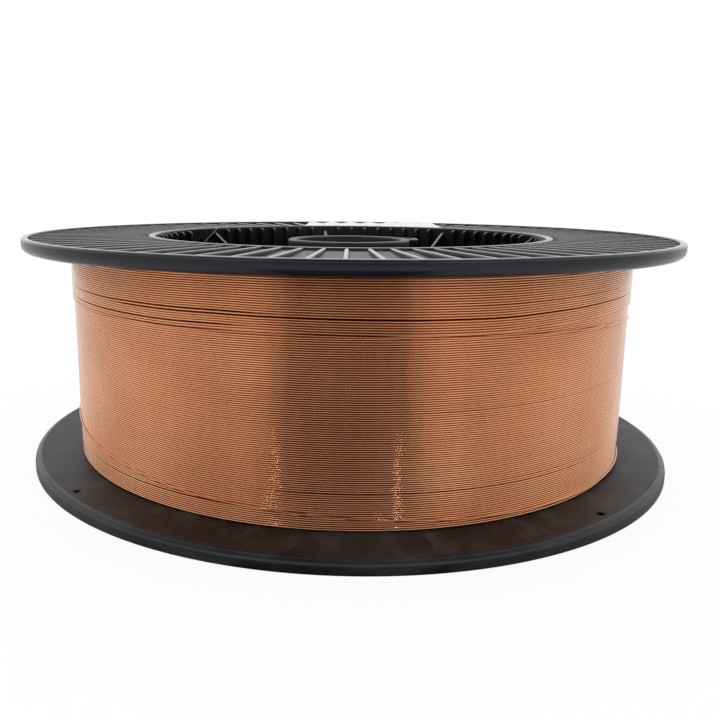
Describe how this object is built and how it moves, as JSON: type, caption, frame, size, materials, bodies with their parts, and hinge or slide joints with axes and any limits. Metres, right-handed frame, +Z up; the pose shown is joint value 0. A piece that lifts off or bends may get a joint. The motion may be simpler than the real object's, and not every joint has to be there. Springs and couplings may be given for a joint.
{
  "type": "welding wire spool",
  "caption": "Black plastic spool with ribbed flanges, wound full of copper-coated steel MIG welding wire, lying on one flange.",
  "frame": {"origin": "centre of the lower flange's outer face, on the floor, on the axis of the hub bore", "axes": "+Z up, along the axis of the spool, which lies on its lower flange; the driver pin hole is at 50 degrees from +X towards +Y"},
  "size_m": [0.3, 0.3, 0.103],
  "materials": {
    "spool": "moulded black polystyrene, satin sheen",
    "wire": "copper-coated steel wire, bright drawn",
    "label": "blank white coated paper"
  },
  "bodies": {
    "root": {"spool": "spool", "wire_winding": "wire", "paper_label": "label"}
  },
  "joints": []
}
